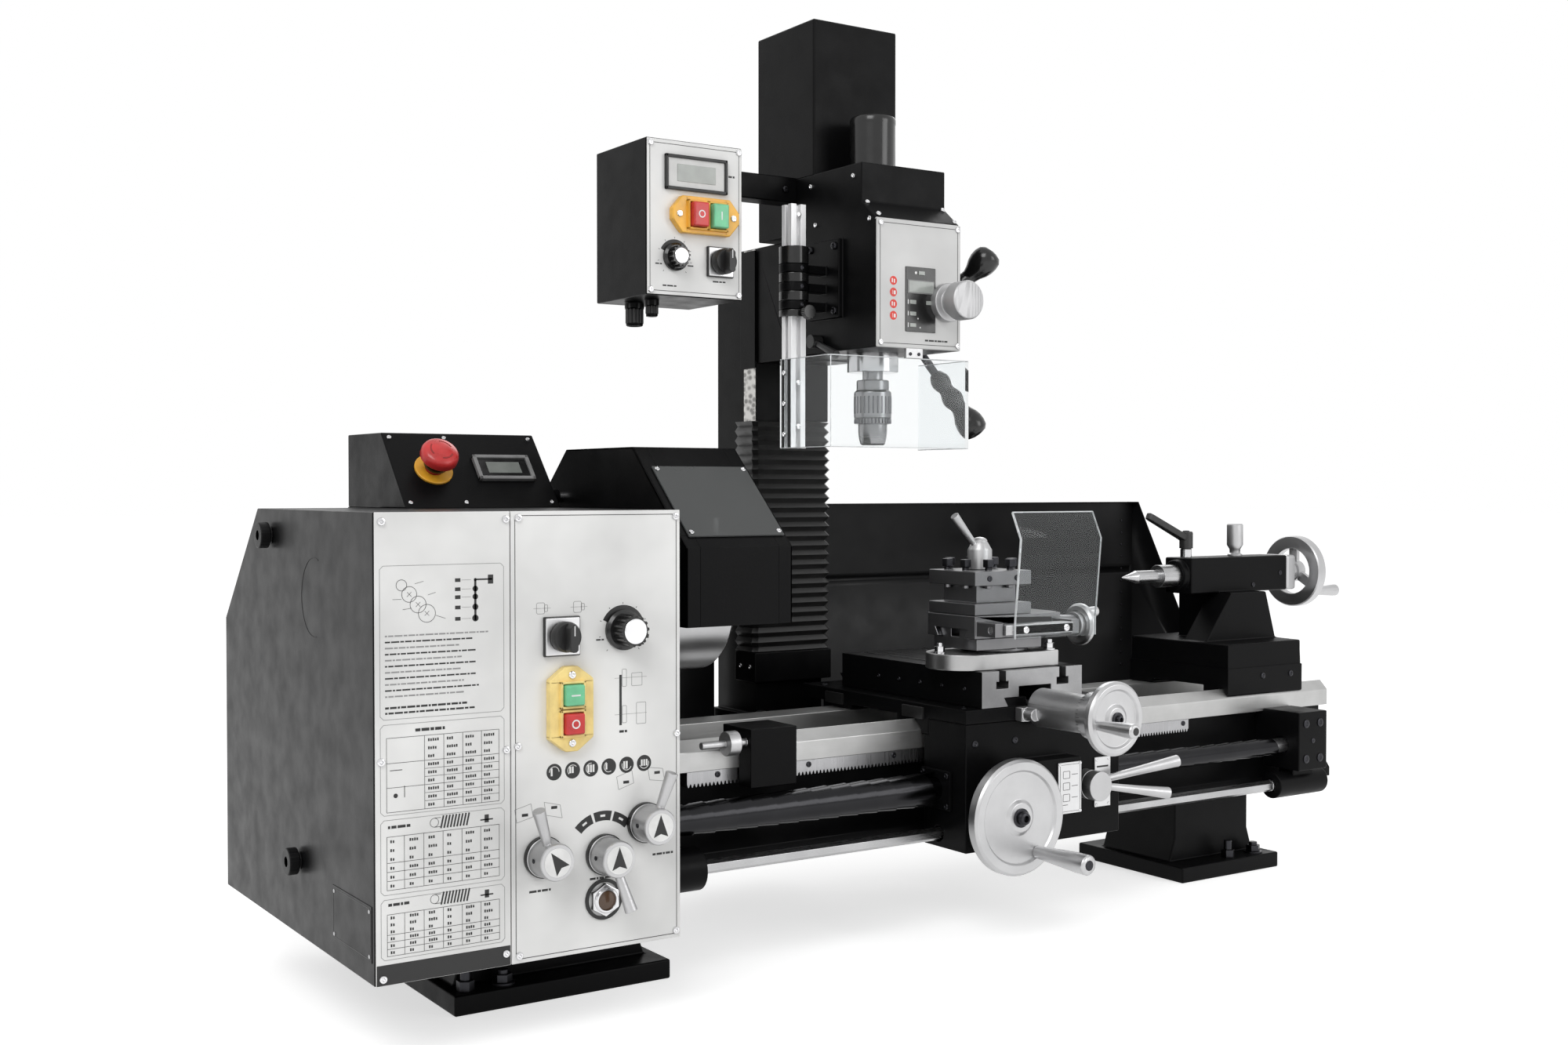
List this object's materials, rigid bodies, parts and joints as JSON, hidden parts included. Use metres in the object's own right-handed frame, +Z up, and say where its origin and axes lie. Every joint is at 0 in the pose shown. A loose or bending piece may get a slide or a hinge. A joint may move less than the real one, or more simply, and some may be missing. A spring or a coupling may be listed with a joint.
{
  "type": "combination lathe mill",
  "caption": "Bench combination lathe and milling machine: geared headstock with hooded chuck, carriage with compound rest, tailstock, and a column-mounted milling head with its own control box.",
  "frame": {"origin": "centre of the four foot fixing holes, on the plane that the feet stand on, below the lathe axis", "axes": "+X along the bed towards the tailstock, +Y from the operator towards the milling column, +Z up"},
  "size_m": [1.495, 0.623, 1.054],
  "materials": {
    "black_paint": "fine-textured satin black paint",
    "white_paint": "satin white paint",
    "bright_steel": "ground steel",
    "cast_iron": "machined cast iron",
    "dark_steel": "oiled dark steel",
    "spring_steel": "rolled spring steel",
    "aluminium": "polished aluminium",
    "black_plastic": "moulded black plastic",
    "bellows_rubber": "pleated black cloth-backed rubber",
    "red_plastic": "red push button",
    "green_plastic": "green push button",
    "clear_sheet": "clear polycarbonate"
  },
  "bodies": {
    "base": {"bed": "black_paint", "pedestals": "black_paint", "rack": "bright_steel", "splash_guard": "black_paint", "headstock": "black_paint", "front_plates": "white_paint", "console": "black_paint", "column": "black_paint", "bellows": "bellows_rubber", "end_bracket": "black_paint", "screw_cover_left": "spring_steel", "screw_cover_right": "spring_steel", "gear_cover": "black_paint"},
    "spindle": {"lathe_spindle": "bright_steel", "chuck": "dark_steel"},
    "lead": {"lead_screw": "bright_steel"},
    "feed": {"feed_rod": "bright_steel"},
    "lathe_cam": {"lathe_cam": "black_plastic"},
    "lathe_speed": {"lathe_speed": "black_plastic"},
    "lathe_start": {"lathe_start": "green_plastic"},
    "lathe_stop": {"lathe_stop": "red_plastic"},
    "selector_left": {"selector_left": "aluminium"},
    "selector_mid": {"selector_mid": "aluminium"},
    "selector_right": {"selector_right": "aluminium"},
    "estop": {"estop": "red_plastic"},
    "chuck_guard": {"chuck_guard": "black_paint"},
    "carriage": {"saddle": "black_paint", "apron": "black_paint", "cross_bracket": "aluminium"},
    "apron_wheel": {"apron_handwheel": "aluminium"},
    "halfnut": {"halfnut_lever": "aluminium"},
    "feed_lever": {"feed_lever": "aluminium"},
    "cross": {"cross_slide": "cast_iron", "swivel_base": "bright_steel"},
    "cross_wheel": {"cross_handwheel": "aluminium"},
    "swivel": {"compound_base": "black_paint"},
    "compound": {"compound_slide": "black_paint"},
    "compound_wheel": {"compound_handwheel": "aluminium"},
    "tool_post": {"tool_post": "dark_steel"},
    "post_lever": {"tool_post_lever": "aluminium"},
    "tool_shield": {"tool_shield": "clear_sheet"},
    "stop": {"carriage_stop": "dark_steel"},
    "tailstock": {"tailstock": "black_paint"},
    "tail_quill": {"tail_quill": "bright_steel"},
    "tail_wheel": {"tail_handwheel": "aluminium"},
    "tail_clamp": {"tail_clamp": "black_plastic"},
    "tail_grip": {"tail_grip": "aluminium"},
    "head": {"mill_head": "black_paint", "motor_cover": "black_paint", "control_box": "black_paint"},
    "quill": {"mill_quill": "bright_steel"},
    "mill_spindle": {"mill_spindle": "dark_steel"},
    "feed_handles": {"feed_handles": "black_plastic"},
    "fine_knob": {"fine_knob": "aluminium"},
    "quill_lock": {"quill_lock": "black_plastic"},
    "mill_guard": {"mill_guard": "clear_sheet"},
    "control_knob": {"control_knob": "black_plastic"},
    "control_cam": {"control_cam": "black_plastic"},
    "control_start": {"control_start": "green_plastic"},
    "control_stop": {"control_stop": "red_plastic"}
  },
  "joints": [
    {"name": "spindle_spin", "type": "hinge", "parent": "base", "child": "spindle", "pos_m": [-0.4, 0, 0.387], "axis": [1, 0, 0], "continuous": true},
    {"name": "lead_screw_spin", "type": "hinge", "parent": "base", "child": "lead", "pos_m": [0, -0.122, 0.168], "axis": [1, 0, 0], "continuous": true},
    {"name": "feed_rod_spin", "type": "hinge", "parent": "base", "child": "feed", "pos_m": [0, -0.122, 0.117], "axis": [1, 0, 0], "continuous": true},
    {"name": "lathe_cam_turn", "type": "hinge", "parent": "base", "child": "lathe_cam", "pos_m": [-0.541, -0.21, 0.37], "axis": [0, 1, 0], "range_deg": [-90, 0]},
    {"name": "lathe_speed_turn", "type": "hinge", "parent": "base", "child": "lathe_speed", "pos_m": [-0.477, -0.21, 0.373], "axis": [0, 1, 0], "range_deg": [-20, 260]},
    {"name": "lathe_start_press", "type": "slide", "parent": "base", "child": "lathe_start", "axis": [0, 1, 0], "range_m": [0, 0.004], "stiffness_N_per_m": 500, "springref_m": -0.002},
    {"name": "lathe_stop_press", "type": "slide", "parent": "base", "child": "lathe_stop", "axis": [0, 1, 0], "range_m": [0, 0.004], "stiffness_N_per_m": 500, "springref_m": -0.002},
    {"name": "selector_left_turn", "type": "hinge", "parent": "base", "child": "selector_left", "pos_m": [-0.56, -0.21, 0.171], "axis": [0, 1, 0], "range_deg": [-40, 40]},
    {"name": "selector_mid_turn", "type": "hinge", "parent": "base", "child": "selector_mid", "pos_m": [-0.498, -0.21, 0.166], "axis": [0, 1, 0], "range_deg": [-40, 40]},
    {"name": "selector_right_turn", "type": "hinge", "parent": "base", "child": "selector_right", "pos_m": [-0.455, -0.21, 0.191], "axis": [0, 1, 0], "range_deg": [-40, 40]},
    {"name": "estop_press", "type": "slide", "parent": "base", "child": "estop", "axis": [0, 0.7438, -0.6684], "range_m": [0, 0.004]},
    {"name": "chuck_guard_hinge", "type": "hinge", "parent": "base", "child": "chuck_guard", "pos_m": [-0.4, 0.094, 0.495], "axis": [1, 0, 0], "range_deg": [-55, 0]},
    {"name": "carriage_slide", "type": "slide", "parent": "base", "child": "carriage", "axis": [1, 0, 0], "range_m": [-0.16, 0.2], "deforming": ["screw_cover_left", "screw_cover_right"]},
    {"name": "apron_wheel_turn", "type": "hinge", "parent": "carriage", "child": "apron_wheel", "pos_m": [0.01, -0.215, 0.145], "axis": [0, 1, 0], "range_deg": [-1925, 2405]},
    {"name": "halfnut_turn", "type": "hinge", "parent": "carriage", "child": "halfnut", "pos_m": [0.144, -0.185, 0.164], "axis": [0, 1, 0], "range_deg": [0, 25]},
    {"name": "feed_lever_turn", "type": "hinge", "parent": "carriage", "child": "feed_lever", "pos_m": [0.144, -0.2, 0.164], "axis": [0, 1, 0], "range_deg": [-20, 20]},
    {"name": "cross_feed", "type": "slide", "parent": "carriage", "child": "cross", "axis": [0, 1, 0], "range_m": [-0.06, 0.07]},
    {"name": "cross_wheel_turn", "type": "hinge", "parent": "carriage", "child": "cross_wheel", "pos_m": [0.07, -0.3, 0.258], "axis": [0, 1, 0], "range_deg": [-10815, 12615]},
    {"name": "compound_swivel", "type": "hinge", "parent": "cross", "child": "swivel", "pos_m": [0.054, -0.118, 0.32], "axis": [0, 0, 1], "range_deg": [-60, 60]},
    {"name": "compound_feed", "type": "slide", "parent": "swivel", "child": "compound", "axis": [1, 0, 0], "range_m": [-0.03, 0.03]},
    {"name": "compound_wheel_turn", "type": "hinge", "parent": "compound", "child": "compound_wheel", "pos_m": [0.185, -0.118, 0.3423], "axis": [1, 0, 0], "range_deg": [-7210, 7210]},
    {"name": "tool_post_turn", "type": "hinge", "parent": "compound", "child": "tool_post", "pos_m": [0.032, -0.118, 0.387], "axis": [0, 0, 1], "range_deg": [-90, 180]},
    {"name": "post_lever_turn", "type": "hinge", "parent": "compound", "child": "post_lever", "pos_m": [0.032, -0.118, 0.42], "axis": [0, 0, 1], "range_deg": [-60, 60]},
    {"name": "tool_shield_tip", "type": "hinge", "parent": "compound", "child": "tool_shield", "pos_m": [0.054, -0.184, 0.3483], "axis": [1, 0, 0], "range_deg": [0, 75]},
    {"name": "stop_slide", "type": "slide", "parent": "base", "child": "stop", "axis": [1, 0, 0], "range_m": [-0.08, 0.12]},
    {"name": "tailstock_slide", "type": "slide", "parent": "base", "child": "tailstock", "axis": [1, 0, 0], "range_m": [-0.2, 0.04]},
    {"name": "tail_quill_slide", "type": "slide", "parent": "tailstock", "child": "tail_quill", "axis": [-1, 0, 0], "range_m": [0, 0.06]},
    {"name": "tail_wheel_turn", "type": "hinge", "parent": "tailstock", "child": "tail_wheel", "pos_m": [0.713, 0, 0.387], "axis": [1, 0, 0], "range_deg": [-10815, 15]},
    {"name": "tail_clamp_turn", "type": "hinge", "parent": "tailstock", "child": "tail_clamp", "pos_m": [0.494, 0, 0.411], "axis": [0, 0, 1], "range_deg": [-40, 40]},
    {"name": "tail_grip_turn", "type": "hinge", "parent": "tailstock", "child": "tail_grip", "pos_m": [0.59, 0, 0.411], "axis": [0, 0, 1], "range_deg": [-30, 30]},
    {"name": "head_lift", "type": "slide", "parent": "base", "child": "head", "axis": [0, 0, -1], "range_m": [0, 0.12], "deforming": ["bellows"]},
    {"name": "quill_feed", "type": "slide", "parent": "head", "child": "quill", "axis": [0, 0, -1], "range_m": [0, 0.05]},
    {"name": "mill_spindle_spin", "type": "hinge", "parent": "quill", "child": "mill_spindle", "pos_m": [-0.033, 0, 0.7], "axis": [0, 0, 1], "continuous": true},
    {"name": "feed_handle_turn", "type": "hinge", "parent": "head", "child": "feed_handles", "pos_m": [0.045, 0.028, 0.686], "axis": [1, 0, 0], "range_deg": [-5, 245]},
    {"name": "fine_knob_turn", "type": "hinge", "parent": "head", "child": "fine_knob", "pos_m": [0.004, -0.11, 0.716], "axis": [0, 1, 0], "range_deg": [-180, 180]},
    {"name": "quill_lock_turn", "type": "hinge", "parent": "head", "child": "quill_lock", "pos_m": [-0.101, 0.022, 0.675], "axis": [1, 0, 0], "range_deg": [-30, 30]},
    {"name": "mill_guard_swing", "type": "hinge", "parent": "head", "child": "mill_guard", "pos_m": [-0.139, 0.008, 0.7], "axis": [0, 0, 1], "range_deg": [-90, 0]},
    {"name": "control_knob_turn", "type": "hinge", "parent": "head", "child": "control_knob", "pos_m": [-0.307, -0.011, 0.754], "axis": [0, 1, 0], "range_deg": [-20, 260]},
    {"name": "control_cam_turn", "type": "hinge", "parent": "head", "child": "control_cam", "pos_m": [-0.251, -0.011, 0.752], "axis": [0, 1, 0], "range_deg": [-90, 0]},
    {"name": "control_start_press", "type": "slide", "parent": "head", "child": "control_start", "axis": [0, 1, 0], "range_m": [0, 0.004], "stiffness_N_per_m": 500, "springref_m": -0.002},
    {"name": "control_stop_press", "type": "slide", "parent": "head", "child": "control_stop", "axis": [0, 1, 0], "range_m": [0, 0.004], "stiffness_N_per_m": 500, "springref_m": -0.002}
  ],
  "couplings": [
    {"joint": "apron_wheel_turn", "follows": "carriage_slide", "rad_per_m": 209.44},
    {"joint": "cross_wheel_turn", "follows": "cross_feed", "rad_per_m": 3141.6},
    {"joint": "compound_wheel_turn", "follows": "compound_feed", "rad_per_m": 4188.8},
    {"joint": "tail_wheel_turn", "follows": "tail_quill_slide", "rad_per_m": -3141.6},
    {"joint": "feed_handle_turn", "follows": "quill_feed", "rad_per_m": 83.333}
  ]
}
